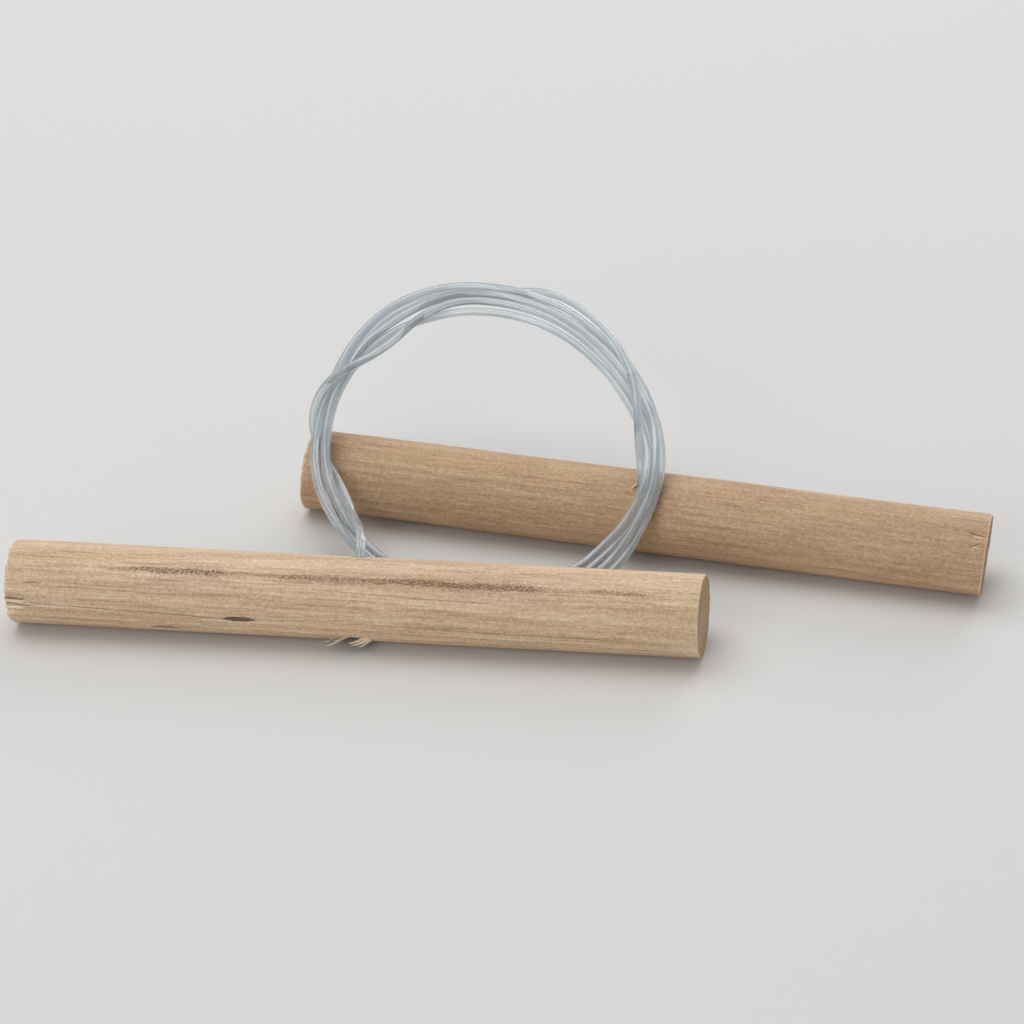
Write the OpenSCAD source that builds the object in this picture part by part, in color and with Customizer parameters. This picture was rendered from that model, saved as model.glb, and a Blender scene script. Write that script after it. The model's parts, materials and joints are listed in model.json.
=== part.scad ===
// Clay cutter: two wooden dowel handles on the ends of one stiff nylon line.
// The line lies coiled, leaning over the rear handle and down behind the front one.
// Millimetres, +Z up. The origin is on the ground, under the middle of the two handles.

/* [Handles] */
// Diameter of both dowels
handle_d = 12; // [10:0.5:16]
// Length of the front dowel
front_len = 98; // [80:0.5:140]
// Length of the rear dowel
rear_len = 101.5; // [80:0.5:140]
// How far the front cross hole lies to the right of its dowel's middle
front_hole_off = 0.4; // [-3:0.1:3]
// How far the rear cross hole lies to the right of its dowel's middle
rear_hole_off = 0.8; // [-3:0.1:3]
// Radius worn on the edges of the sawn ends
edge_r = 0.5; // [0.3:0.1:1]

/* [Saw cuts] */
// Front dowel's left cut: degrees off square as seen from above, and as seen from the front
front_left_cut = [-3, -2]; // [-10:0.5:10]
// Front dowel's right cut
front_right_cut = [-9, -1.5]; // [-10:0.5:10]
// Rear dowel's left cut
rear_left_cut = [-0.5, 2.5]; // [-10:0.5:10]
// Rear dowel's right cut
rear_right_cut = [1.5, 3]; // [-10:0.5:10]

/* [Line] */
// Diameter of the nylon line
line_d = 1.2; // [0.8:0.1:1.4]
// Clearance all round the line in its cross holes
hole_clear = 0.3; // [0.2:0.05:0.6]

/* [Knots] */
// Turns of line round itself in each stopper knot
knot_turns = 1; // [0.75:0.25:1.5]
// Gap between neighbouring strands of a knot
knot_gap = 0.15; // [0.1:0.05:0.3]
// Clearance round a knot in its pocket
knot_clear = 0.6; // [0.3:0.1:1]
// How far a knot lies below the surface of its handle
knot_sunk = 0.5; // [0.3:0.1:1]

/* [Coil] */
// Whole turns in the coil, before its last part turn
coil_turns = 4; // [3:1:6]
// Mean diameter of the coil at the middle of the bundle
coil_d = 49; // [44:0.5:60]
// How much the coil's radius grows and shrinks round its oval
coil_oval = 1.7; // [0:0.1:2]
// Distance between the middles of neighbouring strands
strand_pitch = 1.7; // [1.65:0.05:2.2]
// How much the bundle spreads at the back of the coil
back_spread = 0.4; // [0:0.1:1]
// How much the bundle spreads on its way down to the front
side_spread = 1; // [0:0.1:1.4]
// How far the coil's middle lies behind the top of the rear handle
coil_behind = 3.2; // [0:0.1:6]
// How far inside the middle of the bundle the line comes up from the rear handle
lead_in = 2.8; // [2:0.1:4]
// Gap left under the coil where it rests
rest_gap = 0.4; // [0.3:0.1:1]

/* [Layout] */
// How far the rear handle lies to the right of the front one
rear_shift = 39.3; // [30:0.1:50]
// Angle between the two handles, in degrees
splay = 8.3; // [4:0.1:12]
// Gap between the coil and the front handle
front_gap = 0.5; // [0.3:0.1:5]
// Tilt of the front cross hole away from upright, in degrees
front_tilt = 30; // [25:1:35]

/* [Hidden] */

handle_r = handle_d / 2;
line_r = line_d / 2;
hole_d = line_d + 2 * hole_clear;

// Angles round the coil, counterclockwise from the right end of the rear handle
oval_at = 136;       // where the oval is longest
back_at = 65;        // where the bundle spreads at the back, and lies a little inwards
left_at = 215;       // where the left side is pushed out
pressed_at = 308;    // where the front is pressed in
right_at = 318;      // where the bundle spreads on its way to the front
side_half = 45;      // how far each of these reaches on either side
inwards_from = 0;    // the bundle starts to lie inwards, beside the first strand
inwards_full = 32;   // and does so fully from here
first_start = 9;     // the coil's first strand starts here
first_over = 12;     // the first strand starts over the bundle
first_outside = 44;  // it is outside the bundle from here
first_tuck = 72;     // it starts to tuck in
first_parted = 80;  // it is a whole strand outside the bundle up to here
first_tucked = 108;  // and lies in its place in the bundle from here
last_loose = 80;     // the last strand starts to leave its place
last_parted = 110;   // it is a whole strand outside the bundle from here
last_inside = 127;   // it is inside the bundle from here
last_over = 151;     // it starts over the bundle
last_outside = 177;  // it is outside the bundle
last_under = 179;    // it starts under the bundle
last_back = 206;     // it is inside the bundle again
last_lifted = 206;   // it starts over the bundle once more
last_end = 222;      // and leaves the coil here

// Bundle: the strands lie round an ellipse and shift by one place in each turn
slot_r = strand_pitch / (2 * sin(180 / coil_turns));
slot_start = -45;
slot_twist = 90 / coil_turns;                // extra twist that the lower half takes back
first_turn = 145;                            // the first strand starts inside and over the bundle
last_turn = -540;                            // the last strand parts from it inside
last_lift = 50;                              // and how far it turns back over the bundle as it leaves
coil_r = coil_d / 2;
coil_up = handle_r + rest_gap + line_r + slot_r;
right_rise = 0.9;                            // the right side lies over the bend of the line under it
left_rise = strand_pitch;                    // and the left side on the strand under it
side_push = 0.9;                             // the right side is pushed out by the line beside it
left_push = 0.8;                             // and the left side by the last strand
back_pull = 1.1;                             // the back lies in where the first strand is outside
front_pull = 1.9;                            // the front is pressed in between the handles
hole_at = -asin(coil_behind / coil_r);

function ease(x, x0, x1) =
    let(t = max(0, min(1, (x - x0) / (x1 - x0))))
    t * t * (3 - 2 * t);
function lobe(a, at, half) =
    let(d = (a - at + 3780) % 360 - 180)
    abs(d) < half ? pow(cos(90 * d / half), 2) : 0;
function ring_r(a) =
    coil_r + coil_oval * cos(2 * (a - oval_at)) + side_push * lobe(a, hole_at, side_half)
        - back_pull * (ease(a % 360, inwards_from, inwards_full) - ease(a % 360, first_tuck, first_tucked))
        + left_push * lobe(a, left_at, side_half)
        - front_pull * lobe(a, pressed_at, side_half);
function slot_a(a) =
    slot_r + back_spread * lobe(a, back_at, 2 * side_half) + side_spread * lobe(a, right_at, side_half);

function ring_rise(a) = right_rise + (left_rise - right_rise) * (1 - cos(a - hole_at)) / 2;
front_rise = ring_rise(hole_at + 90);

// Lean of the coil: over the rear handle, and down to the ground behind the front one
front_reach = ring_r(270) - coil_behind;
front_low = slot_r + line_r + rest_gap;
lean = acos((front_low - handle_r) / norm([coil_up + front_rise, front_reach]))
    - atan2(front_reach, coil_up + front_rise);

// Middle of the coil along the rear handle, measured from the cross hole
coil_along = -sqrt(pow(ring_r(hole_at) - lead_in, 2) - pow(coil_behind, 2));

// A point given along the rear handle, up the slope of the coil and square to the coil
function tilted(x, u, n) =
    [x, u * cos(lean) - n * sin(lean), handle_r + u * sin(lean) + n * cos(lean)];
function coil_point(a, dr, dn) =
    let(r = ring_r(a) + dr)
    tilted(coil_along + r * cos(a), coil_behind + r * sin(a), coil_up + ring_rise(a) + dn);

// Place of the strand in the bundle, as an angle round the bundle and a distance outside it
function slot_turn(a) = slot_start - a / coil_turns - slot_twist * (1 - cos(a));
function strand_turn(a) =
    let(b = a - 360 * coil_turns)
    a < first_tucked
        ? first_turn * (1 - ease(a, first_over, first_outside))
            + slot_turn(a) * ease(a, first_tuck, first_tucked)
        : slot_turn(a) + (last_turn - slot_turn(a)) * ease(b, last_loose, last_inside)
            - 180 * ease(b, last_over, last_outside) - 180 * ease(b, last_under, last_back)
            - last_lift * ease(b, last_lifted, last_end);
function strand_out(a) =
    let(b = a - 360 * coil_turns)
    strand_pitch * (1 - ease(a, first_parted, first_tucked) + ease(b, last_loose, last_parted));
function strand_point(a) =
    let(t = strand_turn(a), w = strand_out(a))
    coil_point(a, (slot_a(a) + w) * cos(t), (slot_r + w) * sin(t));

// A loop has 24 rings, and four times as many where a strand winds round the bundle
core_step = 360 / 24;
wind_step = core_step / 4;
coil_end = 360 * coil_turns + last_end;
coil_angles = concat(
    [for (a = [first_start : wind_step : first_tucked - wind_step]) a],
    [for (a = [first_tucked : core_step : 360 * coil_turns + last_loose - wind_step]) a],
    [for (a = [360 * coil_turns + last_loose : wind_step : coil_end - 1]) a],
    [coil_end]);
coil_rear = [for (a = coil_angles) strand_point(a)];

// Everything about the rear handle turns by the splay, then the layout is centred
function unit(v) = v / norm(v);
function turned(p, a) = [p.x * cos(a) - p.y * sin(a), p.x * sin(a) + p.y * cos(a), p.z];
coil_turned = [for (p = coil_rear) turned(p, -splay) + [rear_shift, 0, 0]];
near = handle_r + line_r + front_gap;
front_y = min([for (p = coil_turned) p.y - sqrt(max(0, pow(near, 2) - pow(p.z - handle_r, 2)))]);
function rim(along, cut, turn, at) = [
    for (a = [0 : 15 : 345])
        let(y = handle_r * cos(a), z = handle_r * sin(a))
        turned([along - y * tan(cut.x) + z * tan(cut.y) / cos(cut.x), y, z], turn) + at];
function rims(len, hole_off, cuts, turn, at) = concat(
    rim(-len / 2 - hole_off, cuts[0], turn, at), rim(len / 2 - hole_off, cuts[1], turn, at));
front_cuts = [front_left_cut, front_right_cut];
rear_cuts = [rear_left_cut, rear_right_cut];
all_rims = concat(rims(front_len, front_hole_off, front_cuts, 0, [0, front_y, 0]),
    rims(rear_len, rear_hole_off, rear_cuts, -splay, [rear_shift, 0, 0]));
xs = [for (p = all_rims) p.x];
ys = [for (p = all_rims) p.y];
centre = [(min(xs) + max(xs)) / 2, (min(ys) + max(ys)) / 2, 0];
front_at = [0, front_y, handle_r] - centre;
rear_at = [rear_shift, 0, handle_r] - centre;

// Cross holes: each axis runs from the knot's side of the handle to the side of the coil
front_axis = [0, sin(front_tilt), cos(front_tilt)];
rear_axis = turned([0, -sin(lean), cos(lean)], -splay);

// Stopper knot, outwards along the hole from the middle of the handle
wrap_r = line_d + knot_gap;
knot_top = handle_r - knot_sunk - line_r - wrap_r / 2;
knot_low = knot_top - wrap_r * knot_turns;
pocket_floor = knot_low - line_r - knot_clear / 2;
pocket_d = 2 * (wrap_r + line_r + knot_clear);
knot_start = pocket_floor + knot_clear / 4;
turn_over = 200;     // angle through which the line turns over at the top of the knot
wrap_step = 24;
knot_local = concat(
    [[0, 0, knot_start], [0, 0, knot_top]],
    [for (t = [0.125 : 0.125 : 1])
        [wrap_r * ease(t, 0, 1) * cos(turn_over * t), wrap_r * ease(t, 0, 1) * sin(turn_over * t),
            knot_top + wrap_r / 2 * sin(180 * t)]],
    [for (a = [wrap_step : wrap_step : 360 * knot_turns])
        [wrap_r * cos(turn_over + a), wrap_r * sin(turn_over + a), knot_top - wrap_r * a / 360]]);
function knot_path(at, axis) =
    let(side = [1, 0, 0], other = cross(side, -axis))
    [for (p = knot_local) at + p.x * unit(side - (side * axis) * axis) + p.y * unit(other) - p.z * axis];

// Leads: out of each cross hole and over to the coil on one smooth bend
function bend(p0, p1, p2, p3, t) =
    pow(1 - t, 3) * p0 + 3 * t * pow(1 - t, 2) * p1 + 3 * t * t * (1 - t) * p2 + pow(t, 3) * p3;
coil_path = [for (p = coil_turned) p - centre];
last = len(coil_path) - 1;
coil_in = unit(coil_path[1] - coil_path[0]);
coil_out = unit(coil_path[last] - coil_path[last - 1]);
rear_mouth = rear_at + handle_r * rear_axis;
front_mouth = front_at + handle_r * front_axis;
rear_bend = 3;       // how far the rear lead keeps its direction at each end of its bend
coil_bend = 5;       // the same for the front lead where it leaves the coil
mouth_bend = 7;      // and where it drops into its hole
bend_steps = 12;
rear_lead_path = concat(
    [rear_at - knot_start * rear_axis, rear_mouth],
    [for (i = [1 : bend_steps]) bend(rear_mouth, rear_mouth + rear_bend * rear_axis,
        coil_path[0] - rear_bend * coil_in, coil_path[0], i / bend_steps)]);
front_lead_path = concat(
    [for (i = [0 : bend_steps]) bend(coil_path[last], coil_path[last] + coil_bend * coil_out,
        front_mouth + mouth_bend * front_axis, front_mouth, i / bend_steps)],
    [front_at - knot_start * front_axis]);
rear_knot_path = knot_path(rear_at, rear_axis);
front_knot_path = knot_path(front_at, front_axis);

// Tube swept along points, its rings square to the path and carried on without twist
function tangent(pts, i) = unit(pts[min(i + 1, len(pts) - 1)] - pts[max(i - 1, 0)]);
function carried(tans, v, i = 0, out = []) =
    i == len(tans) ? out :
    let(w = unit(v - (v * tans[i]) * tans[i]))
    carried(tans, w, i + 1, concat(out, [w]));
module tube(pts, sides, tans) {
    norms = carried(tans, [0.3, 0.2, 1]);
    rings = len(pts);
    points = [for (i = [0 : rings - 1], k = [0 : sides - 1])
        let(a = 360 * k / sides)
        pts[i] + line_r * (cos(a) * norms[i] + sin(a) * cross(tans[i], norms[i]))];
    walls = [for (i = [0 : rings - 2], k = [0 : sides - 1])
        let(a = i * sides + k, b = i * sides + (k + 1) % sides)
        each [[a, a + sides, b], [b, a + sides, b + sides]]];
    caps = [for (k = [1 : sides - 2])
        each [[0, k, k + 1], [(rings - 1) * sides, (rings - 1) * sides + k + 1, (rings - 1) * sides + k]]];
    polyhedron(points, concat(walls, caps));
}
function tangents(pts, first, final) =
    [for (i = [0 : len(pts) - 1])
        i == 0 && first != undef ? first : i == len(pts) - 1 && final != undef ? final : tangent(pts, i)];

// Least gap between strands of the coil that are more than a quarter turn apart along the line
function least_gap(pts, away) =
    min([for (i = [0 : len(pts) - 1], j = [i + 1 : len(pts) - 1])
        if (abs(coil_angles[i] - coil_angles[j]) > away) norm(pts[i] - pts[j])]) - line_d;
echo(least_gap = least_gap(coil_path, 90));
echo(lean = lean, front_y = front_y, centre = centre, front_at = front_at, rear_at = rear_at);

module end_cut() {
    rotate_extrude($fn = 96)
        polygon(concat(
            [[0, 0]],
            [for (a = [90 : -20 : 30]) [handle_r - edge_r + edge_r * cos(a), -edge_r + edge_r * sin(a)]],
            [[handle_r + 0.1, -edge_r + edge_r * sin(30) - (edge_r * (1 - cos(30)) + 0.1) / tan(30)],
                [handle_r + 2, -edge_r], [handle_r + 2, handle_r], [0, handle_r]]));
}

// Dowel along X with a cross hole at the origin and a pocket for the knot
module dowel(len, hole_off, cuts, tilt) {
    difference() {
        translate([-hole_off, 0, 0]) rotate([0, 90, 0])
            cylinder(d = handle_d, h = len + handle_r, center = true, $fn = 96);
        for (s = [-1, 1])
            let(cut = cuts[(s + 1) / 2])
            translate([s * len / 2 - hole_off, 0, 0]) rotate([0, cut.y, cut.x])
                rotate([0, 90 * s, 0]) end_cut();
        rotate([tilt, 0, 0]) {
            cylinder(d = hole_d, h = 2 * handle_d, center = true, $fn = 32);
            translate([0, 0, -handle_d]) cylinder(d = pocket_d, h = handle_d - pocket_floor, $fn = 48);
        }
    }
}

module front_handle() {
    color("#d8b48c") translate(front_at) dowel(front_len, front_hole_off, front_cuts, -front_tilt);
}
module rear_handle() {
    color("#cda57e") translate(rear_at) rotate([0, 0, -splay])
        dowel(rear_len, rear_hole_off, rear_cuts, lean);
}
module line_coil() {
    color("#c9d2d8") tube(coil_path, 6, tangents(coil_path, coil_in, coil_out));
}
module front_lead() {
    color("#c9d2d8") tube(front_lead_path, 8, tangents(front_lead_path, coil_out, -front_axis));
}
module rear_lead() {
    color("#c9d2d8") tube(rear_lead_path, 8, tangents(rear_lead_path, rear_axis, coil_in));
}
module front_knot() {
    color("#c9d2d8") tube(front_knot_path, 8, tangents(front_knot_path, -front_axis, undef));
}
module rear_knot() {
    color("#c9d2d8") tube(rear_knot_path, 8, tangents(rear_knot_path, -rear_axis, undef));
}

front_handle();
rear_handle();
line_coil();
front_lead();
rear_lead();
front_knot();
rear_knot();
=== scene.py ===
import json
import bmesh
import bpy
import numpy as np
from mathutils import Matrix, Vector


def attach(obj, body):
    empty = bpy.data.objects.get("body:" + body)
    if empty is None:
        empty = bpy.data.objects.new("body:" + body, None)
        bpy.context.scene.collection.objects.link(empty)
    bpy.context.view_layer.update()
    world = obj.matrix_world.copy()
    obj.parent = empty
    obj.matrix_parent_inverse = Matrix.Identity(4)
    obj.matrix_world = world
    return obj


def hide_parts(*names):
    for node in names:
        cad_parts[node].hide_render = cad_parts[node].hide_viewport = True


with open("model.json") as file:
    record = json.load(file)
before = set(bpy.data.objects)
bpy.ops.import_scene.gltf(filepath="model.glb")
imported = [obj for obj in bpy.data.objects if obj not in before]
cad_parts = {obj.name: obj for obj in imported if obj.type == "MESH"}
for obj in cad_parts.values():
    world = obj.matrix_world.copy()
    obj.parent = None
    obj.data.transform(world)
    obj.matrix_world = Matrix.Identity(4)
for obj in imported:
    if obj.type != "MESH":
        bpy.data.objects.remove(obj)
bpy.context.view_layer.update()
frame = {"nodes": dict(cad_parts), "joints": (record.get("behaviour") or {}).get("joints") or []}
print("frame loaded:", ", ".join(sorted(frame["nodes"])))

mm = 0.001


# Where the handles lie, and which way their cross holes point, from the two swivels
swivels = {joint["name"]: joint for joint in frame["joints"]}
frontAt, rearAt = [np.array(swivels[f"{side}_handle_swivel"]["pos_m"]) for side in ("front", "rear")]
frontAxis, rearAxis = [np.array(swivels[f"{side}_handle_swivel"]["axis"]) for side in ("front", "rear")]
lean = np.arccos(rearAxis[2])
splay = np.arctan2(-rearAxis[0], -rearAxis[1])
handleRadius = frontAt[2]


# Camera: where the photographer stood, looking down on the two handles
cameraView = {
    "target": (frontAt[0] + 18.52 * mm, frontAt[1] + 34.635 * mm, 0),
    "distance": 549 * mm,
    "elevation": 32,
    "turn": 5.37,
    "lens": 128.7,
    "sensor": 36,
}


def placeCamera(view):
    # back is the way from the target to the camera: turned about the vertical, then raised by its elevation
    up, turn = np.radians([view["elevation"], view["turn"]])
    back = np.array([np.sin(turn) * np.cos(up), -np.cos(turn) * np.cos(up), np.sin(up)])
    camera = bpy.data.objects.new("camera", bpy.data.cameras.new("camera"))
    camera.data.lens = view["lens"]
    camera.data.sensor_width = view["sensor"]
    camera.data.clip_start = 0.01
    camera.data.clip_end = 20
    camera.location = np.array(view["target"]) + back * view["distance"]
    camera.rotation_euler = (np.pi / 2 - up, 0, turn)
    bpy.context.scene.collection.objects.link(camera)
    bpy.context.scene.camera = camera


placeCamera(cameraView)
print("camera placed")


# Nylon line: one length, knotted in the rear handle, wound into a coil and knotted in the front one.
# The coil leans over the rear handle; angles run round it from that handle's right end
line = {
    "radius": 0.6 * mm,
    "sides": 20,
    "ringStep": 0.5 * mm,
    "coilRadius": 24.5 * mm,
    "oval": 1.7 * mm,
    "ovalAt": 136,
    "holeAt": -8.4,
    "behind": 3.6 * mm,        # how far the coil's middle lies behind the top of the rear handle
    "up": 7.9 * mm,            # the bundle's middle above the rear handle's axis
    "rise": 0.7 * mm,          # the left side rides a little higher
    "leadIn": 0.8 * mm,        # the hole's middle lies inside the ring
    "frontPull": 1.6 * mm,     # the front handle presses the ring in
    "pressedAt": 285,
    "pressedWidth": 36,
    "rearBend": (2.4 * mm, 2.2 * mm),
    "coilBend": 4 * mm,
    "mouthBend": 5 * mm,
    "knotStart": 2.125 * mm,
    "rounding": 6,             # degrees over which a strand changes its course
    "apart": 1.21 * mm,        # strands come to rest this far from middle to middle
    "rounds": 100,             # how often strands push each other apart, and how many of the last aren't evened out
    "lastRounds": 12,
    "neighbours": 6,           # points this near along the line don't push each other
    "pushShare": 0.45,
    "evenShare": 0.5,
    "held": (2, 6),            # points at the rear and the front hole that stay where they are
    "evened": 3,               # points to each side that the last evening out looks at
    "tipReach": 0.25,          # the rounded ends of a tube, as shares of its radius
    "tipWidth": 0.75,
}

# the line's place in the bundle: the angle, then millimetres outwards and upwards
strands = [
    (3, -1.15, 0.0), (8, -1.2, 0.4), (12, -1.1, 0.9), (18, -0.8, 1.3), (22, -0.55, 1.4), (28, 0.0, 1.3),
    (33, 0.45, 1.0), (40, 0.95, 0.7), (50, 1.6, 0.3), (60, 2.05, 0), (70, 2.4, 0), (75, 2.5, 0), (80, 2.5, -0.1),
    (85, 2.25, -0.4), (90, 1.7, -0.8), (95, 1.1, -1.1), (105, 0.7, -1.0), (115, 0.6, -0.6), (135, 0.5, 0),
    (150, 0.2, -0.4), (165, 0.35, -0.65), (180, 0.9, -0.65), (200, 1.7, -0.65), (215, 1.9, -0.6),
    (230, 1.7, -0.6), (260, 1.5, -0.3), (290, 1.5, 0), (325, 1.45, 0), (333, 1.1, -0.2),
    (340, 0.75, -0.5), (352, 1.05, -0.5), (360, 1.45, -0.4), (372, 1.5, -0.3), (380, 1.4, -0.3),
    (390, 1.4, -0.3), (400, 1.45, -0.3), (408, 1.35, -0.2), (420, 1.0, 0),
    (435, 1.0, 0), (445, 0.7, 0.2), (451, 0.7, 0.2), (460, 0.85, 0), (470, 1.3, 0), (480, 1.6, 0), (490, 1.6, 0),
    (500, 1.25, 0), (510, 0.7, 0.3), (520, 0.35, 0.6), (530, 0.5, 0.6), (540, 0.95, 0.6), (550, 1.55, 0.6),
    (560, 2.05, 0.6), (570, 2.15, 0.6), (580, 2.0, 0.6), (590, 1.9, 0.6),
    (620, 1.2, 0.7), (650, 0.7, 0.5), (685, 0.5, 0), (700, 0.2, 0.5),
    (712, 0.5, 0.6), (725, 0.7, 0.6), (740, 1.05, 0.6), (760, 0.3, 0.1), (780, 0.2, 0), (800, 0.2, 0),
    (820, 0.2, 0), (830, 0.3, 0), (840, 0.0, 0), (855, -0.6, 0), (870, -0.9, 0.4), (880, -1.0, 0.6),
    (890, -0.7, 0.6), (900, -0.4, 0.6), (910, 0, 0.6), (920, 0.3, 0.6), (935, 0.5, 0.6), (950, 0.4, 0.6),
    (980, -0.4, 0.6), (1010, -1.3, 0.4), (1045, -2.0, 0), (1060, -1.2, 0.4), (1072, -0.6, 0.9),
    (1085, -0.75, 0.4), (1100, -1.0, -0.2), (1110, -1.5, -0.1), (1120, -1.8, 0), (1130, -2.2, 0),
    (1140, -2.4, 0), (1160, -2.8, 0), (1180, -3.0, 0), (1190, -2.9, -0.1), (1200, -2.6, -0.3),
    (1207, -2.3, -0.4), (1215, -1.9, -0.2), (1225, -1.45, -0.2), (1230, -1.15, -0.4), (1240, -0.8, -0.6),
    (1250, -0.5, -0.6), (1260, -0.25, -0.6), (1270, 0, -0.6), (1280, 0.1, -0.6), (1295, 0.0, -0.6),
    (1310, 0.0, -0.6), (1340, -0.3, -0.6), (1370, -0.7, -0.4), (1405, -1.0, 0), (1420, -0.65, -0.5),
    (1432, 0.0, -0.9), (1445, -0.2, -0.6), (1460, -0.55, -0.4), (1470, -0.75, -0.1), (1480, -0.9, 0),
    (1500, -1.05, 0), (1520, -1.1, 0), (1540, -1.15, 0), (1550, -1.2, 0.3), (1558, -1.7, 0.6), (1567, -2.5, 0.6),
    (1573, -3.0, 0.3), (1579, -3.35, 0), (1586, -3.15, 0.2), (1592, -2.6, 0.7), (1597, -1.7, 1.2),
    (1602, -0.6, 1.7), (1606, 0.35, 1.7), (1610, 1.1, 1.3), (1614, 1.75, 0.6), (1618, 2.0, -0.1),
    (1623, 1.65, -1.0), (1628, 0.9, -1.6), (1633, 0.1, -1.8), (1639, -0.7, -1.3), (1645, -1.0, -0.4),
    (1651, -1.05, 0.3), (1655, -0.95, 0.8), (1658, -0.75, 1.2),
]


def unit(v):
    # each vector divided by its length
    return v / np.linalg.norm(v, axis=-1, keepdims=True)


def bezier(p0, p1, p2, p3, count):
    # cubic curve from p0 to p3, leaving towards p1 and arriving from p2
    t = np.linspace(0, 1, count)[:, None]
    return (1 - t) ** 3 * p0 + 3 * t * (1 - t) ** 2 * p1 + 3 * t * t * (1 - t) * p2 + t ** 3 * p3


def ringRadius(angle):
    # an oval ring, pressed in by a squared cosine hump where the front handle lies against it
    s = line
    away = np.clip(abs((angle - s["pressedAt"] + 180) % 360 - 180) / s["pressedWidth"], 0, 1)
    return (s["coilRadius"] + s["oval"] * np.cos(np.radians(2 * (angle - s["ovalAt"])))
            - s["frontPull"] * np.cos(np.pi / 2 * away) ** 2)


def onCoil(angle, out, up):
    # a point beside the ring that leans on the rear handle
    s = line
    r = ringRadius(angle) + out
    n = s["up"] + s["rise"] * (1 - np.cos(np.radians(angle - s["holeAt"]))) / 2 + up
    along = -np.sqrt((ringRadius(s["holeAt"]) - s["leadIn"]) ** 2 - s["behind"] ** 2)
    a = np.radians(angle)
    x = along + r * np.cos(a)
    u = s["behind"] + r * np.sin(a)
    return fromRear(x, u * np.cos(lean) - n * np.sin(lean), u * np.sin(lean) + n * np.cos(lean))


def fromRear(x, y, z):
    # from the rear handle's own directions to the object's
    c, s = np.cos(splay), np.sin(splay)
    return rearAt + np.stack([x * c + y * s, -x * s + y * c, z], -1)


def evenly(points, step):
    # the same route with points a step apart
    along = np.r_[0, np.cumsum(np.linalg.norm(np.diff(points, axis=0), axis=1))]
    places = np.linspace(0, along[-1], int(along[-1] / step) + 1)
    return np.stack([np.interp(places, along, points[:, k]) for k in range(3)], 1)


def settle(route):
    # strands that are too close push each other apart, the rear handle and the floor push them off,
    # and each move is shared with the points before and after it, because the line is stiff
    s = line
    count = len(route)
    move = np.zeros_like(route)
    loose = np.ones((count, 1))
    loose[:s["held"][0]] = loose[-s["held"][1]:] = 0
    loose = np.convolve(loose[:, 0], np.ones(5) / 5, "same")[:, None]
    near = abs(np.subtract.outer(np.arange(count), np.arange(count))) < s["neighbours"]
    rearWay = np.array([np.cos(splay), -np.sin(splay), 0])
    for step in range(s["rounds"]):
        now = route + move
        gap = now[:, None] - now[None]
        far = np.linalg.norm(gap, axis=2) + near
        push = np.clip(s["apart"] - far, 0, None) / np.maximum(far, 1e-6)
        move += s["pushShare"] * loose * (gap * push[..., None]).sum(1)
        off = now - rearAt
        off = off - (off @ rearWay)[:, None] * rearWay
        away = np.linalg.norm(off, axis=1, keepdims=True)
        move += loose * np.clip(handleRadius + s["radius"] - away, 0, None) * off / away
        move[:, 2] += loose[:, 0] * np.clip(s["radius"] - now[:, 2], 0, None)
        if step < s["rounds"] - s["lastRounds"]:
            move[1:-1] += loose[1:-1] * s["evenShare"] * ((move[:-2] + move[2:]) / 2 - move[1:-1])
    return route + move


def linePath():
    # the strands' places are rounded by a bell over the angle, laid on the ring, led to both holes by cubic curves,
    # pushed apart, and evened out by a bell over the points
    s = line
    angle, out, up = np.array(strands, float).T
    degrees = np.arange(angle[0], angle[-1] + 0.5)
    window = np.hanning(2 * s["rounding"] + 1) / s["rounding"]
    out, up = [np.convolve(np.pad(np.interp(degrees, angle, v), s["rounding"], "reflect", reflect_type="odd"),
                           window, "valid") for v in (out, up)]
    coil = onCoil(degrees, out * mm, up * mm)
    coilIn = unit(coil[1] - coil[0])
    coilOut = unit(coil[-1] - coil[-2])
    rearMouth = rearAt + handleRadius * rearAxis
    frontMouth = frontAt + handleRadius * frontAxis
    rearLead = bezier(rearMouth, rearMouth + s["rearBend"][0] * rearAxis,
                      coil[0] - s["rearBend"][1] * coilIn, coil[0], 40)
    frontLead = bezier(coil[-1], coil[-1] + s["coilBend"] * coilOut,
                       frontMouth + s["mouthBend"] * frontAxis, frontMouth, 60)
    route = settle(evenly(np.concatenate([rearLead, coil[1:-1], frontLead]), 1 * mm))
    ends = rearAt - s["knotStart"] * rearAxis, frontAt - s["knotStart"] * frontAxis
    route = evenly(np.concatenate([ends[:1], route, ends[1:]]), s["ringStep"])
    beside = s["evened"]
    window = np.hanning(2 * beside + 3)[1:-1] / (beside + 1)
    middle = [np.convolve(np.pad(v, beside, "reflect", reflect_type="odd"), window, "valid") for v in route.T]
    return np.stack(middle, 1)


def meshObject(name, vertices, faces, places=None):
    # places are each corner's spot on the flat pattern, millimetres along and across
    mesh = bpy.data.meshes.new(name)
    mesh.from_pydata(vertices.tolist(), [], faces)
    if places is not None:
        mesh.uv_layers.new(name="UVMap").data.foreach_set("uv", places.ravel())
    mesh.shade_smooth()
    mesh.update()
    made = bpy.data.objects.new(name, mesh)
    bpy.context.scene.collection.objects.link(made)
    return made


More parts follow.
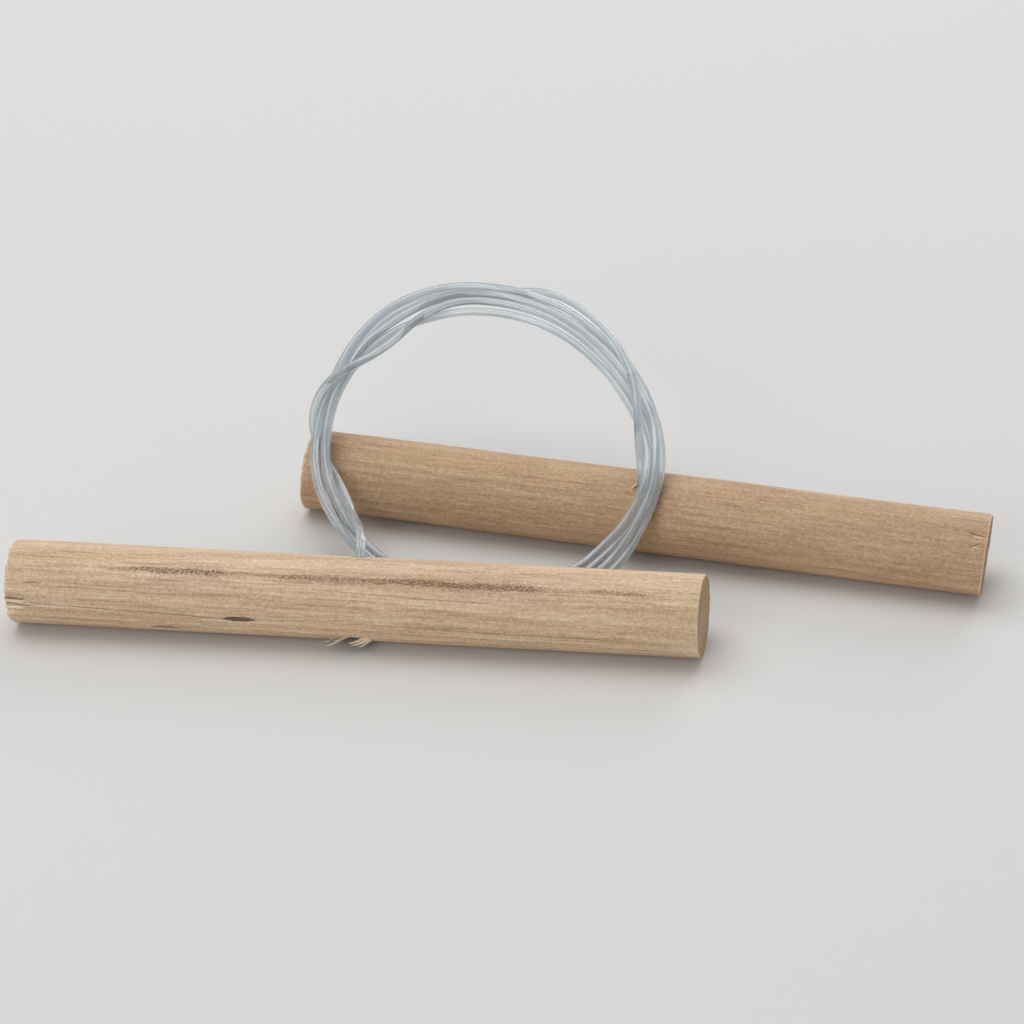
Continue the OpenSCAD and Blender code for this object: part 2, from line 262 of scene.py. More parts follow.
def closedGrid(name, grid, along, girth):
    # rings of points along each piece, joined into a wall and closed by a point at each end;
    # along and girth are its length and its way round in millimetres
    pieces, rings, sides = grid.shape[:3]
    k = np.arange(pieces * rings * sides).reshape(pieces, rings, sides)
    beside = np.roll(k, -1, 2)
    walls = np.stack([k[:, :-1], beside[:, :-1], beside[:, 1:], k[:, 1:]], -1).reshape(-1, 4)
    ends = k.size + np.arange(2 * pieces).reshape(2, pieces, 1)
    first = np.stack([np.broadcast_to(ends[0], k[:, 0].shape), beside[:, 0], k[:, 0]], -1).reshape(-1, 3)
    last = np.stack([np.broadcast_to(ends[1], k[:, 0].shape), k[:, -1], beside[:, -1]], -1).reshape(-1, 3)
    u, v = np.meshgrid(np.linspace(0, along, rings), np.linspace(0, girth, sides + 1), indexing="ij")
    flat = np.stack([u, v], -1)
    corners = np.stack([flat[:-1, :-1], flat[:-1, 1:], flat[1:, 1:], flat[1:, :-1]], 2).reshape(-1, 2)
    points = np.concatenate([grid.reshape(-1, 3), grid[:, 0].mean(1), grid[:, -1].mean(1)])
    places = np.concatenate([np.tile(corners, (pieces, 1)), np.zeros((len(first) * 3, 2)),
                             np.full((len(last) * 3, 2), along)])
    return meshObject(name, points, walls.tolist() + first.tolist() + last.tolist(), places)


def tubeAlong(name, path, sideways, radius, sides):
    # a circle carried along the path, square to it, and turned so that its first point keeps to one side;
    # two smaller rings round off each end
    ahead = unit(np.gradient(path, axis=0))
    side = unit(sideways - (sideways * ahead).sum(1, keepdims=True) * ahead)
    other = np.cross(ahead, side)
    size = np.full(len(path), radius)
    along = np.linalg.norm(np.diff(path, axis=0), axis=1).sum() / mm
    reach = line["tipReach"] * radius
    path = np.concatenate([path[:1] - reach * ahead[:1], path, path[-1:] + reach * ahead[-1:]])
    side, other = [np.concatenate([v[:1], v, v[-1:]]) for v in (side, other)]
    tip = [line["tipWidth"] * radius]
    size = np.concatenate([tip, size, tip])
    angle = np.linspace(0, 2 * np.pi, sides, endpoint=False)[None, :, None]
    circle = np.cos(angle) * side[:, None] + np.sin(angle) * other[:, None]
    grid = path[:, None] + size[:, None, None] * circle
    return closedGrid(name, grid[None], along, 2 * np.pi * radius / mm)


path = linePath()
coilMiddle = onCoil(np.arange(0.0, 360.0, 10), 0, 0).mean(0)
nylonLine = tubeAlong("nylon_line", path, path - coilMiddle, line["radius"], line["sides"])


# Stopper knots: the line turns over at the top of its pocket and winds back once round itself
knot = {"wrap": 1.32 * mm, "top": 4.225 * mm, "turns": 1, "over": 200, "tail": 35, "step": 5}


def knotPath(at, axis):
    # straight down, over in half a wave while it moves out to the wrap's radius, and back up in a helix
    s = knot
    side = unit(np.array([1.0, 0, 0]) - axis[0] * axis)
    other = np.cross(side, -axis)
    rise = np.linspace(line["knotStart"], s["top"], 12)[:-1]
    t = np.linspace(0, 1, 40)
    wind = np.arange(s["step"], 360 * s["turns"] + s["tail"], s["step"])
    turn = np.radians(np.concatenate([0 * rise, s["over"] * t, s["over"] + wind]))
    r = s["wrap"] * np.concatenate([0 * rise, t * t * (3 - 2 * t), 0 * wind + 1])
    down = np.concatenate([rise, s["top"] + s["wrap"] / 2 * np.sin(np.pi * t), s["top"] - s["wrap"] * wind / 360])
    around = np.cos(turn)[:, None] * side + np.sin(turn)[:, None] * other
    return at + r[:, None] * around - down[:, None] * axis, around


knots = []
for name, at, axis in (("front_stopper", frontAt, frontAxis), ("rear_stopper", rearAt, rearAxis)):
    points, around = knotPath(at, axis)
    knots.append(tubeAlong(name, points, around, line["radius"], line["sides"]))
print("knots tied")


# Dowels: cut to length by hand at odd angles, sanded, then drilled across and counterbored for the knot
dowel = {
    "length": 100,             # both are about so long, millimetres like everything here
    "sides": 160,
    "rings": 300,
    "faceRings": (0.12, 0.3, 0.5, 0.7, 0.85, 0.94),
    "edge": 0.4,               # the sawn edge is worn round
    "hole": 0.9,
    "pocket": 2.55,
    "pocketFloor": 2.0,
    "groove": 0.05,            # depth of the grain, and how long and wide its grooves are
    "grooveSize": (7, 0.22),
    "wave": 0.06,              # the cutter's waves
    "waveSize": (14, 3.5),
    "nap": 0.02,               # fine roughness
    "napSize": (0.5, 0.25),
    "sawn": 0.03,              # the saw's lines on the end faces, and its ragged rims
    "ragged": 0.03,
    "pocketCorner": 0.3,       # the drill's rounded corners and widened mouths
    "pocketMouth": 0.15,
    "holeMouth": 0.12,
    "mouthDepth": 0.6,
    "torn": 0.025,             # share by which the bore's wall is uneven
    "boreSides": 64,
    "boreSeed": 5,
    "joinWithin": 0.03,        # points left by the bore this near each other become one
    "shortest": 0.02,          # edges and faces under this size go
}
# each end: its place along the dowel, and how it is skewed to the back and upwards;
# dents and chips: place along, degrees round from the top, half length, half width, depth
frontDowel = {
    "left": (-49.4, 0.052, -0.035),
    "right": (48.9, 0.095, -0.045),
    "seed": 11,
    "dents": [(-16.3, 97, 2.5, 0.45, 0.3), (-27.0, 124, 2.3, 0.35, 0.2), (-45.8, 57.5, 1.2, 0.15, 0.12),
              (-49.0, 80, 1.6, 0.25, 0.3), (-48.9, 91, 1.3, 0.3, 0.35), (-48.8, 103, 1.5, 0.45, 0.3),
              (-49.3, 20, 0.5, 0.5, 0.25), (48.9, 100, 1.0, 0.6, 0.12), (34.0, 60, 3.5, 0.12, 0.1),
              (41.0, 72, 3.0, 0.1, 0.1), (3.0, 140, 1.4, 0.7, 0.5), (-3.1, 136, 1.2, 0.5, 0.4)],
}
rearDowel = {
    "left": (-51.55, 0.009, 0.044),
    "right": (49.95, -0.026, 0.052),
    "seed": 23,
    "dents": [(48.2, 29, 1.0, 0.15, 0.12), (48.0, 44, 0.8, 0.15, 0.12), (-51.3, 60, 0.6, 0.5, 0.15)],
}


def softNoise(shape, lengths, seed):
    # random heights on a grid, smoothed by a bell that is so many steps wide each way
    spectrum = np.fft.fft2(np.random.default_rng(seed).standard_normal(shape))
    waves = [np.exp(-2 * (np.pi * np.fft.fftfreq(n) * wide) ** 2) for n, wide in zip(shape, lengths)]
    heights = np.fft.ifft2(spectrum * waves[0][:, None] * waves[1]).real
    return heights / heights.std()


def cutAt(end, across, turn):
    # how far along the dowel a skewed cut lies, so far out from the axis and turned so far round from the top
    return end[0] - across * np.sin(turn) * end[1] + across * np.cos(turn) * end[2]


def dowelGrid(ends):
    # a round bar: the wall runs between two skewed planes, its edges roll over onto the sawn faces,
    # and grain, waves and dents are taken off its radius
    s = dowel
    full = handleRadius / mm
    turn = np.linspace(0, 2 * np.pi, s["sides"], endpoint=False)
    stepRound = full * 2 * np.pi / s["sides"]
    shape = (s["rings"], s["sides"])
    stepAlong = s["length"] / s["rings"]
    groove, wave, nap = [(s[size][0] / stepAlong, s[size][1] / stepRound)
                         for size in ("grooveSize", "waveSize", "napSize")]
    seed = ends["seed"]
    grain = (np.clip(softNoise(shape, groove, seed), 0, 2.5) * s["groove"]
             + np.clip(softNoise(shape, wave, seed + 1) + 1, 0, 3) * s["wave"]
             + np.clip(softNoise(shape, nap, seed + 2), 0, 3) * s["nap"]) / 1.5
    face = np.array(s["faceRings"]) * (full - s["edge"])
    roll = np.radians(np.arange(0, 90, 15))
    reach = np.concatenate([face, full - s["edge"] + s["edge"] * np.sin(roll)])
    back = np.concatenate([0 * face, s["edge"] * (1 - np.cos(roll))])
    ragged = s["ragged"] * softNoise((2, s["sides"]), (0.01, 1.2), seed + 3)
    t = np.linspace(0, 1, s["rings"])[:, None]
    starts = cutAt(ends["left"], full, turn) + s["edge"] + ragged[0]
    stops = cutAt(ends["right"], full, turn) - s["edge"] + ragged[1]
    along = starts + (stops - starts) * t
    taken = grain.copy()
    for at, degrees, halfLong, halfWide, deep in ends["dents"]:
        away = (np.degrees(turn) - degrees + 180) % 360 - 180
        inside = 1 - ((along - at) / halfLong) ** 2 - (np.radians(away) * full / halfWide) ** 2
        taken += deep * np.clip(inside, 0, 1) ** 0.7
    radius = full - np.clip(taken, 0, None)
    rim = [(ends["left"], -1, ragged[0], radius[0]), (ends["right"], 1, ragged[1], radius[-1])]
    blocks = []
    for end, way, rough, outer in rim:
        r = reach[:, None] * (outer / full)
        x = cutAt(end, r, turn) - way * back[:, None] + rough * (reach[:, None] / full) ** 6
        # the saw leaves slightly slanting lines across the face
        y, z = -r * np.sin(turn), r * np.cos(turn)
        x = x - way * s["sawn"] * abs(np.sin(4.1 * y + 1.5 * z) + 0.5 * np.sin(1.3 * z - 2.7 * y))
        blocks.append((x, r))
    x = np.concatenate([blocks[0][0], along, blocks[1][0][::-1]])
    r = np.concatenate([blocks[0][1], radius, blocks[1][1][::-1]])
    return np.stack([x, -r * np.sin(turn), r * np.cos(turn)], -1)


def drill():
    # one tool: the cross hole, opened a little at its mouth, and the wider pocket underneath
    s = dowel
    full = handleRadius / mm
    corner = s["pocketCorner"]
    mouth = s["hole"] + s["holeMouth"]
    height = np.array([-full - 2, -full + corner, -s["pocketFloor"] - corner, -s["pocketFloor"], -s["pocketFloor"],
                       full - s["mouthDepth"], full + 0.1, full + 2])
    wide = np.array([s["pocket"] + s["pocketMouth"], s["pocket"], s["pocket"], s["pocket"] - corner, s["hole"],
                     s["hole"], mouth, mouth])
    turn = np.linspace(0, 2 * np.pi, s["boreSides"], endpoint=False)
    torn = 1 + s["torn"] * softNoise((len(height), s["boreSides"]), (0.01, 1.5), s["boreSeed"])
    r = wide[:, None] * torn
    return np.stack([r * np.cos(turn), r * np.sin(turn), np.repeat(height[:, None], s["boreSides"], 1)], -1)


def standing(grid, at, turn, tilt):
    # millimetres on the dowel, leaned back by the tilt and turned on the floor, to the object's metres
    x, y, z = np.moveaxis(grid, -1, 0)
    y, z = y * np.cos(tilt) - z * np.sin(tilt), y * np.sin(tilt) + z * np.cos(tilt)
    x, y = x * np.cos(turn) - y * np.sin(turn), x * np.sin(turn) + y * np.cos(turn)
    return np.stack([x, y, z], -1) * mm + at


def dowelPiece(name, ends, at, turn, axis):
    # the round bar less the drill, which leans as the cross hole does
    bar = closedGrid(name, standing(dowelGrid(ends), at, turn, 0)[None],
                     dowel["length"], 2 * np.pi * handleRadius / mm)
    tilt = np.arctan2(np.hypot(axis[0], axis[1]), axis[2])
    tool = closedGrid("drill", standing(drill(), at, turn, -tilt if axis[1] > 0 else tilt)[None], 1, 1)
    bore = bar.modifiers.new("bore", "BOOLEAN")
    bore.operation = "DIFFERENCE"
    bore.solver = "EXACT"
    bore.object = tool
    bored = bpy.data.meshes.new_from_object(bar.evaluated_get(bpy.context.evaluated_depsgraph_get()))
    bar.modifiers.clear()
    bar.data = bored
    bpy.data.objects.remove(tool)
    # the cut leaves a few slivers thinner than a hair: their points are joined
    joined = bmesh.new()
    joined.from_mesh(bored)
    bmesh.ops.remove_doubles(joined, verts=joined.verts, dist=dowel["joinWithin"] * mm)
    bmesh.ops.triangulate(joined, faces=joined.faces)
    bmesh.ops.dissolve_degenerate(joined, dist=dowel["shortest"] * mm, edges=joined.edges)
    bmesh.ops.triangulate(joined, faces=joined.faces)
    joined.to_mesh(bored)
    joined.free()
    bored.shade_smooth()
    bored.set_sharp_from_angle(angle=np.radians(40))
    return bar


frontBar = dowelPiece("front_dowel", frontDowel, frontAt, 0, frontAxis)
rearBar = dowelPiece("rear_dowel", rearDowel, rearAt, -splay, rearAxis)
print("dowels sawn and drilled")


# Torn fibres: the drill lifted slivers of wood at the pocket and at the holes' mouths
fibre = {
    "rings": 10,
    "sides": 8,
    "root": 0.25,              # how deep in the dowel each begins, millimetres
    "curl": 1.3,
    "flat": 0.4,               # thickness as a share of the width
    "tip": 0.03,
}
# Each starts at a place on the dowel, ends at another, and lifts off it: along, degrees, along, degrees, lift, width
frontFibres = [
    (-2.8, 133, -4.4, 128, 0.6, 0.5), (-1.4, 131, -4.2, 136, 0.95, 0.75), (-1.0, 128, -3.0, 126, 0.5, 0.5),
    (2.3, 131, -0.6, 135, 0.75, 1.2), (1.6, 128, -0.9, 130, 0.6, 0.9), (2.4, 136, 0.3, 138, 0.9, 0.9),
    (2.6, 215, 4.3, 212, 0.5, 0.4), (-2.6, 205, -4.4, 209, 0.5, 0.4), (-2.5, 222, -3.9, 224, 0.4, 0.5),
    (-0.8, -28, -2.0, -25, 0.3, 0.3), (0.9, -31, 2.2, -33, 0.3, 0.25), (48.0, 2, 48.5, 1, 0.45, 0.25),
]
rearFibres = [
    (-0.9, 12, -1.9, 29, 0.35, 0.6), (-0.5, 24, -1.0, 31, 0.3, 0.25), (0.9, 33, 2.0, 34, 0.2, 0.2),
    (2.6, 205, 4.4, 203, 0.5, 0.3), (-2.6, 220, -4.2, 217, 0.45, 0.3), (0.5, 238, -0.9, 246, 0.5, 0.25),
]


def fibrePiece(name, fibres, at, turn):
    # a flat oval carried from one place on the dowel to the other, lifting off as a curve and thinning to its tip
    along0, degrees0, along1, degrees1, lift, width = np.array(fibres)[:, :, None].transpose(1, 0, 2)
    s = fibre
    t = np.linspace(0, 1, s["rings"])
    x = along0 + (along1 - along0) * t
    a = np.radians(degrees0 + (degrees1 - degrees0) * t)
    r = handleRadius / mm - s["root"] + (lift + s["root"]) * np.sin(np.pi / 2 * t) ** s["curl"]
    path = np.stack([x, -r * np.sin(a), r * np.cos(a)], -1)
    out = np.stack([0 * x, -np.sin(a), np.cos(a)], -1)
    ahead = unit(np.gradient(path, axis=1))
    side = unit(np.cross(ahead, out))
    out = np.cross(side, ahead)
    around = np.linspace(0, 2 * np.pi, s["sides"], endpoint=False)[:, None]
    thick = (width / 2 * np.sqrt(1 + s["tip"] - t))[..., None, None]
    grid = path[:, :, None] + thick * (np.cos(around) * out[:, :, None] * s["flat"]
                                       + np.sin(around) * side[:, :, None])
    return closedGrid(name, standing(grid, at, turn, 0), 2, 1)


frontSlivers = fibrePiece("front_torn_fibres", frontFibres, frontAt, 0)
rearSlivers = fibrePiece("rear_torn_fibres", rearFibres, rearAt, -splay)


class Wire:
    # a socket in a material: arithmetic on it adds Math nodes, make adds any other node
    def __init__(self, tree, socket=None):
        self.tree = tree
        self.socket = socket

    def make(self, kind, settings=None, values=None, output=0):
        node = self.tree.nodes.new(kind)
        for name, setting in (settings or {}).items():
            if name == "stops":
                node.color_ramp.elements[0].position = setting[0][0]
                node.color_ramp.elements[0].color = (*setting[0][1], 1)
                node.color_ramp.elements[1].position = setting[-1][0]
                node.color_ramp.elements[1].color = (*setting[-1][1], 1)
                for position, colour in setting[1:-1]:
                    node.color_ramp.elements.new(position).color = (*colour, 1)
            else:
                setattr(node, name, setting)
        for key, value in (values or {}).items():
            if isinstance(value, Wire):
                self.tree.links.new(value.socket, node.inputs[key])
            else:
                node.inputs[key].default_value = value
        return Wire(self.tree, node.outputs[output])

    def maths(self, operation, *values):
        return self.make("ShaderNodeMath", {"operation": operation}, dict(enumerate(values)))

    def __add__(self, other):
        return self.maths("ADD", self, other)

    def __sub__(self, other):
        return self.maths("SUBTRACT", self, other)

    def __rsub__(self, other):
        return self.maths("SUBTRACT", other, self)

    def __mul__(self, other):
        return self.maths("MULTIPLY", self, other)

    def __truediv__(self, other):
        return self.maths("DIVIDE", self, other)

    __radd__ = __add__

    def between(self, start, end):
        # nought up to start, one from end on
        return self.make("ShaderNodeMapRange", {"interpolation_type": "SMOOTHSTEP"},
                         {"Value": self, "From Min": start, "From Max": end})

    def noise(self, factors, scale, detail, roughness):
        # random heights; a place times the factors is where they are read
        spot = self.make("ShaderNodeVectorMath", {"operation": "MULTIPLY"}, {0: self, 1: factors})
        return self.make("ShaderNodeTexNoise", {}, {"Vector": spot, "Scale": scale, "Detail": detail,
                                                    "Roughness": roughness})

    def tint(self, colour, amount):
        # this colour, mixed towards another by an amount
        return self.make("ShaderNodeMix", {"data_type": "RGBA"}, {0: amount, 6: self, 7: colour}, 2)


def newMaterial(name):
    # a material, its shader and a wire to begin with
    material = bpy.data.materials.new(name)
    material.use_nodes = True
    shader = material.node_tree.nodes["Principled BSDF"]
    return material, shader, Wire(material.node_tree)


def feed(wire, shader, name):
    # joins a wire to one of the shader's inputs
    wire.tree.links.new(wire.socket, shader.inputs[name])


# Bare wood: the front dowel is pale with a brown streak, the rear one is finer and a little darker
frontWood = {
    "tones": [(0.0, (0.14, 0.08, 0.045)), (0.35, (0.39, 0.25, 0.14)), (0.6, (0.6, 0.415, 0.255)),
              (0.8, (0.77, 0.575, 0.395)), (1.0, (0.92, 0.75, 0.56))],
    "tone": 0.69,
    "grain": 0.34,
    "thread": 0.52,
    "lines": 0.14,
    "pores": 0.14,
    "poreFrom": 0.66,
    "fleck": 0.75,
    "speck": 0.13,
    "blotch": 0.14,
    "rings": 0.05,
    "pith": (9.0, -16.0),
    "streak": True,
    "marks": [(-16.3, -10.15, 2.9, 0.48, 0.85), (-27.0, -13.0, 2.6, 0.34, 0.7), (-45.8, -6.0, 1.4, 0.14, 0.5)],
    "cracks": [(-50.9, -13.5, -8.87, 0.037, 0.05, 0.6), (-46.8, -20.0, -6.3, 0.02, 0.04, 0.35),
               (-50.2, -46.5, -8.5, 0.02, 0.07, 0.8), (-50.2, -45.5, -9.5, 0.03, 0.05, 0.7),
               (-8.0, 22.0, -4.9, 0.03, 0.04, 0.35), (4.0, 46.0, -9.9, 0.02, 0.05, 0.4)],
    "slivers": [(-48.0, -8.95, 1.7, 0.22, 1.0), (-48.3, -10.0, 1.5, 0.26, 1.0), (-49.0, -11.2, 0.7, 0.5, 0.6)],
}
rearWood = {
    "tones": [(0.0, (0.12, 0.065, 0.035)), (0.35, (0.31, 0.185, 0.1)), (0.6, (0.475, 0.305, 0.176)),
              (0.8, (0.61, 0.42, 0.26)), (1.0, (0.78, 0.6, 0.41))],
    "tone": 0.66,
    "grain": 0.28,
    "thread": 0.50,
    "lines": 0.09,
    "pores": 0.16,
    "poreFrom": 0.66,
    "fleck": 0.75,
    "speck": 0.16,
    "blotch": 0.2,
    "rings": 0.03,
    "pith": (-12.0, -18.0),
    "streak": False,
    "marks": [],
    "cracks": [(47.2, 49.9, -2.95, 0.18, 0.06, 0.75), (47.5, 49.4, -5.4, -0.6, 0.06, 0.75)],
    "slivers": [(48.8, -3.55, 0.8, 0.14, 0.5), (48.6, -5.2, 0.6, 0.12, 0.4)],
}


# what both woods share: colours of their marks, and the finish
woodFinish = {
    # the rim colour is a painted highlight along the worn-round edge at each end
    "rim": (0.86, 0.7, 0.47, 1),
    "rimShare": 0.5,
    "endDarker": 0.22,
    "endSpeck": 0.5,
    "streak": (0.16, 0.075, 0.036, 1),
    "mark": (0.075, 0.045, 0.03, 1),
    "sliver": (0.93, 0.79, 0.59, 1),
    "crack": (0.11, 0.068, 0.045, 1),
    "roughness": 0.62,
    "shine": 0.35,
    "relief": 0.6,
    "reliefDepth": 0.15 * mm,
}
# each noise: factors along, across and up, then scale, detail and roughness
woodNoise = {
    "grain": ((0.05, 1, 1), 1.1, 3, 0.55),
    "thread": ((0.05, 1, 1), 4.0, 4, 0.65),
    "lines": ((0.025, 1, 1), 2.6, 3, 0.6),
    "pores": ((0.3, 1, 1), 8.0, 1, 0.5),
    "fleck": ((0.7, 1, 1), 2.6, 4, 0.7),
    "speck": ((0.6, 1, 1), 5.5, 2, 0.6),
    "blotch": ((0.35, 1, 1), 0.22, 2, 0.5),
    "endSpeck": ((1, 1, 1), 7, 2, 0.6),
    "wander": ((0.16, 0, 0), 1.0, 2, 0.5),
    "stipple": ((0.6, 1, 1), 5.0, 3, 0.7),
}
# the brown streak runs round the front dowel's front, so many millimetres from the top, and as far each way along;
# its strength from the left end of that (0) to the right one (1)
streakRound = -3.22
streakReach = 45
streakStrength = [
    (0.0, 0), (0.02, 0.3), (0.067, 0.25), (0.083, 0.05), (0.11, 0.4), (0.15, 0.7), (0.194, 0.95), (0.283, 1),
    (0.3, 0.5), (0.356, 0.5), (0.389, 0.75), (0.522, 0.75), (0.578, 1), (0.77, 1), (0.8, 0.45), (0.85, 0.4),
    (0.878, 0.6), (0.95, 0.6), (0.97, 0.15), (1.0, 0.1),
]
# freshly torn wood shows paler and plain; the raised tone is also painted light that makes up for the shade the
# fibres lie in
tornFrontShadeLifted = {**frontWood, "tone": 0.9, "streak": False, "marks": [], "cracks": [], "slivers": []}
tornRearShadeLifted = {**rearWood, "tone": 1.0, "marks": [], "cracks": [], "slivers": []}


def woodMaterial(name, wood, ends, at, turn):
    # the tone is the wood's own plus each noise times its weight; it picks the colour, and marks are mixed over it
    material, shader, start = newMaterial(name)
    place = start.make("ShaderNodeTexCoord", output="Object")
    # millimetres along the dowel, and across it to the back and up
    local = start.make("ShaderNodeMapping", {"vector_type": "TEXTURE"},
                       {"Vector": place, "Location": at, "Rotation": (0, 0, turn), "Scale": (mm, mm, mm)})
    x, y, z = [start.make("ShaderNodeSeparateXYZ", {}, {0: local}, k) for k in range(3)]
    girth = start.maths("ARCTAN2", y, z) * (handleRadius / mm)
    grain, thread, fleck, blotch = [local.noise(*woodNoise[name]) for name in ("grain", "thread", "fleck", "blotch")]
    lines = 1 - local.noise(*woodNoise["lines"]).between(0.33, 0.44)
    pores = local.noise(*woodNoise["pores"]).between(wood["poreFrom"], wood["poreFrom"] + 0.08)
    speck = local.noise(*woodNoise["speck"]).between(0.58, 0.72)
    across = start.maths("SQRT", (y - wood["pith"][0]) * (y - wood["pith"][0])
                         + (z - wood["pith"][1]) * (z - wood["pith"][1]))
    rings = start.maths("SINE", (across + x * 0.02 + grain * 1.6) * 4.4)
    tone = (wood["tone"] + (grain - 0.5) * wood["grain"] + (thread - 0.5) * wood["thread"]
            + (fleck - 0.5) * wood["fleck"] + (blotch - 0.5) * wood["blotch"] + speck * wood["speck"]
            + rings * wood["rings"] - pores * wood["pores"] - lines * wood["lines"])
    # end grain, from how far a spot lies beyond the two cuts: darker, with the rings crossing it, and a pale band
    # along the worn-round edge before each cut that is a painted highlight
    left, right = ends["left"], ends["right"]
    beyond = start.maths("MAXIMUM", left[0] - x + y * left[1] + z * left[2],
                         x - right[0] - y * right[1] - z * right[2])
    endFace = beyond.between(-0.16, -0.08)
    # painted highlight: a pale band along the worn-round edge just before each cut
    rim = beyond.between(-0.45, -0.25) * (1 - endFace)
    endSpeck = local.noise(*woodNoise["endSpeck"])
    tone = tone - endFace * (woodFinish["endDarker"] + (endSpeck - 0.5) * woodFinish["endSpeck"])
    colour = start.make("ShaderNodeValToRGB", {"stops": wood["tones"]}, {0: tone})
    colour = colour.tint(woodFinish["rim"], rim * woodFinish["rimShare"])
    if wood["streak"]:
        wander = local.noise(*woodNoise["wander"]) - 0.5
        strength = start.make("ShaderNodeValToRGB", {
            "stops": [(spot, (amount,) * 3) for spot, amount in streakStrength]},
            {0: (x + streakReach) / (2 * streakReach)})
        off = start.maths("ABSOLUTE", girth - streakRound - wander * 0.9) / (0.45 + strength * 0.65)
        core = 1 - off.between(0.12, 0.62)
        halo = 1 - off.between(0.3, 1.5)
        stipple = local.noise(*woodNoise["stipple"]).between(0.42, 0.58)
        dark = strength * (core * (0.3 + stipple * 0.55) + halo * stipple * 0.45)
        colour = colour.tint(woodFinish["streak"], start.maths("MINIMUM", dark, 0.9))
    for markX, markRound, halfLength, halfWidth, depth in wood["marks"]:
        u = (x - markX) / halfLength
        v = (girth - markRound + (fleck - 0.5) * 0.5) / halfWidth
        # an oval drawn out to a point at both ends
        mark = (1 - u * u - v * v / start.maths("MAXIMUM", 1.15 - u * u, 0.05)).between(0, 0.5) * depth
        colour = colour.tint(woodFinish["mark"], mark)
    for sliverX, sliverRound, halfLength, halfWidth, paleness in wood["slivers"]:
        u = (x - sliverX) / halfLength
        v = (girth - sliverRound + (fleck - 0.5) * 0.4) / halfWidth
        colour = colour.tint(woodFinish["sliver"], (1 - u * u - v * v).between(0, 0.5) * paleness)
    crackDepth = 0
    for startX, endX, crackRound, slope, halfWidth, depth in wood["cracks"]:
        fade = (endX - startX) / 5
        off = start.maths("ABSOLUTE", girth - crackRound + (x - startX) * slope + (grain - 0.5) * 0.6)
        inside = (halfWidth * 2 - off).between(0, halfWidth) * x.between(startX, startX + fade)
        inside = inside * (1 - x.between(endX - fade, endX))
        crackDepth = inside * depth + crackDepth
        colour = colour.tint(woodFinish["crack"], inside * depth)
    feed(colour, shader, "Base Color")
    shader.inputs["Roughness"].default_value = woodFinish["roughness"]
    shader.inputs["Specular IOR Level"].default_value = woodFinish["shine"]
    relief = grain * 0.4 + thread * 0.5 - lines * 0.25 - pores * 0.3 + fleck * 0.5 - crackDepth
    bump = start.make("ShaderNodeBump", {}, {"Strength": woodFinish["relief"],
                                             "Distance": woodFinish["reliefDepth"], "Height": relief})
    feed(bump, shader, "Normal")
    return material


# Milky nylon: clear enough to see the next strand through it, with fine drawn streaks along its length
nylon = {
    "milk": (0.55, 0.605, 0.64, 1),
    "streak": (0.70, 0.745, 0.77, 1),
    "clearness": 0.78,
    "bend": 1.53,
    "roughness": 0.06,
    "scratches": 0.1,
    "rim": 0.6,
    "rimSoftness": 0.25,
    "gloss": 0.5,
    "glossRoughness": 0.04,
    "drawn": ((0.02, 1, 1), 1.6, 2, 0.5),
    "cloud": ((0.5, 0.5, 1), 0.35, 2, 0.5),
    "relief": 0.05,
    "reliefDepth": 0.05 * mm,
}


def nylonMaterial():
    # colour and roughness follow noise that is drawn out along the line
    material, shader, start = newMaterial("milky_nylon")
    place = start.make("ShaderNodeTexCoord", output="UV")
    drawn = place.noise(*nylon["drawn"])
    cloud = place.noise(*nylon["cloud"])
    milk = start.make("ShaderNodeMix", {"data_type": "RGBA"},
                      {0: (drawn + cloud * 0.5).between(0.62, 0.95), 6: nylon["milk"], 7: nylon["streak"]}, 2)
    feed(milk, shader, "Base Color")
    feed(nylon["roughness"] + drawn * nylon["scratches"], shader, "Roughness")
    bump = start.make("ShaderNodeBump", {}, {"Strength": nylon["relief"], "Distance": nylon["reliefDepth"],
                                             "Height": drawn})
    feed(bump, shader, "Normal")
    shader.inputs["IOR"].default_value = nylon["bend"]
    shader.inputs["Transmission Weight"].default_value = nylon["clearness"]
    shader.inputs["Sheen Weight"].default_value = nylon["rim"]
    shader.inputs["Sheen Roughness"].default_value = nylon["rimSoftness"]
    shader.inputs["Coat Weight"].default_value = nylon["gloss"]
    shader.inputs["Coat Roughness"].default_value = nylon["glossRoughness"]
    return material


nylonFinish = nylonMaterial()
for piece in (nylonLine, *knots):
    piece.data.materials.append(nylonFinish)
    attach(piece, "line")
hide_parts("line_coil", "front_lead", "rear_lead")
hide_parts("front_knot")
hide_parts("rear_knot")

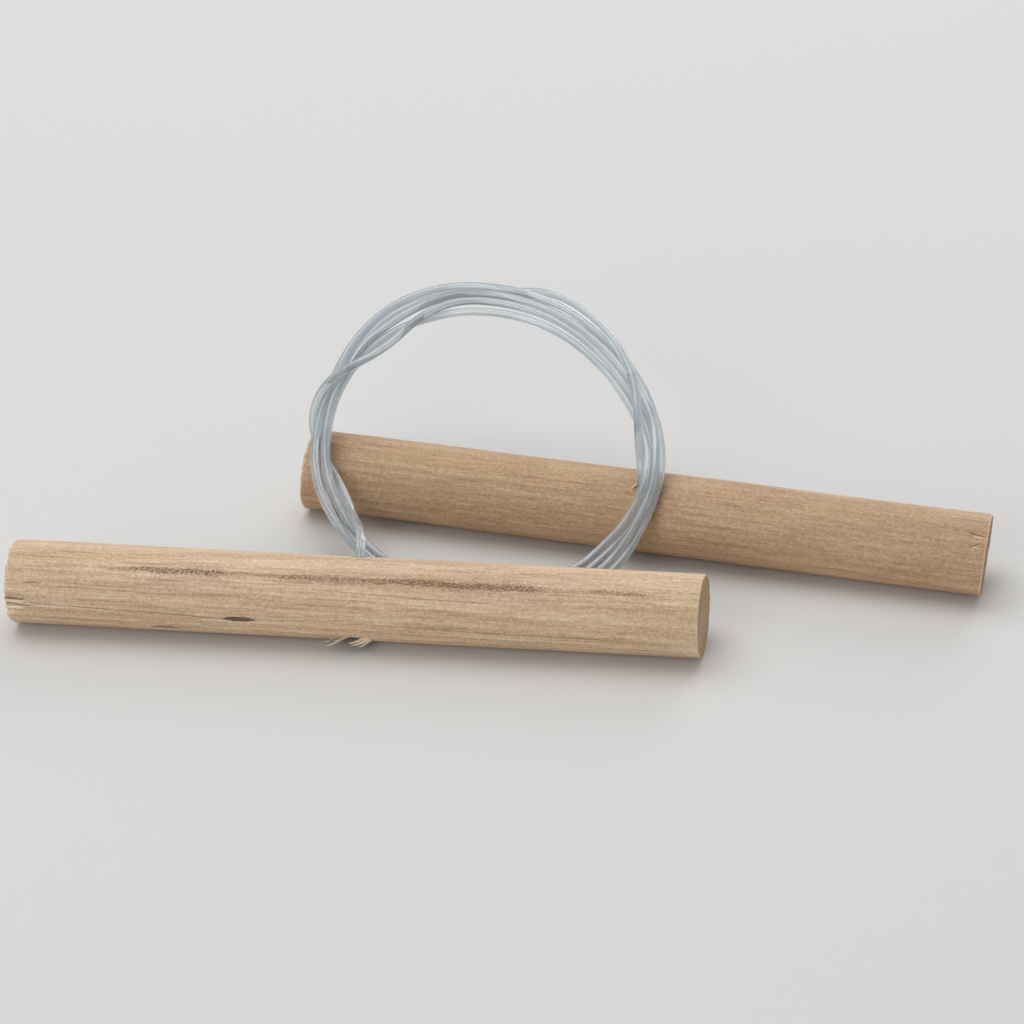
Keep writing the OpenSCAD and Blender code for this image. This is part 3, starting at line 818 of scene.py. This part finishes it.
for side, wood, torn, ends, at, turn, bar, slivers in (
        ("front", frontWood, tornFrontShadeLifted, frontDowel, frontAt, 0, frontBar, frontSlivers),
        ("rear", rearWood, tornRearShadeLifted, rearDowel, rearAt, -splay, rearBar, rearSlivers)):
    # the torn fibres' paler finish is partly their own colour and partly painted light against the shade they lie in
    for piece, look, name in ((bar, wood, side + "_wood"), (slivers, torn, side + "_torn_wood")):
        piece.data.materials.clear()
        piece.data.materials.append(woodMaterial(name, look, ends, tuple(at), float(turn)))
        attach(piece, side + "_grip_body")
    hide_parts(side + "_handle")
print("wood and nylon finished")


# Studio: pale floor, one wide soft light overhead, a fill in front and one behind
studio = {
    "floor": (0.72, 0.715, 0.705, 1),
    "floorReach": 3,           # metres from the middle to each side
    "floorRoughness": 0.85,
    "ambient": 0.30,
    "background": 0.9,         # what the camera and reflections see past the floor
    "lights": [("overhead", (-0.25, 0.15, 1.0), 1.1, 6.2), ("front", (-0.5, -1.1, 0.6), 0.8, 4.2),
               ("behind", (0.3, 0.9, 0.55), 0.7, 3.0)],
}


def studioFloor():
    # a square round the middle
    material, shader, start = newMaterial("floor")
    shader.inputs["Base Color"].default_value = studio["floor"]
    shader.inputs["Roughness"].default_value = studio["floorRoughness"]
    size = studio["floorReach"]
    corners = np.array([[-size, -size, 0], [size, -size, 0], [size, size, 0], [-size, size, 0]], float)
    floor = meshObject("floor", corners, [[0, 1, 2, 3]])
    floor.data.materials.append(material)


def softLight(name, place, size, power):
    # a round lamp that faces the middle of the floor
    lamp = bpy.data.lights.new(name, "AREA")
    lamp.shape = "DISK"
    lamp.size = size
    lamp.energy = power
    holder = bpy.data.objects.new(name, lamp)
    holder.location = place
    holder.rotation_euler = Vector(place).to_track_quat("Z", "Y").to_euler()
    bpy.context.scene.collection.objects.link(holder)


def studioWorld():
    # white all round: dim where it only lights, brighter where the camera or a reflection meets it
    world = bpy.data.worlds.new("studio")
    world.use_nodes = True
    bpy.context.scene.world = world
    start = Wire(world.node_tree)
    back = world.node_tree.nodes["Background"]
    seen = [start.make("ShaderNodeLightPath", output=name)
            for name in ("Is Camera Ray", "Is Glossy Ray", "Is Transmission Ray")]
    shown = start.maths("MINIMUM", seen[0] + seen[1] + seen[2], 1)
    feed(studio["ambient"] + shown * (studio["background"] - studio["ambient"]), back, "Strength")
    back.inputs["Color"].default_value = (1, 1, 1, 1)


studioFloor()
studioWorld()
for light in studio["lights"]:
    softLight(*light)
bpy.context.scene.view_settings.view_transform = "Standard"
print("studio lit")
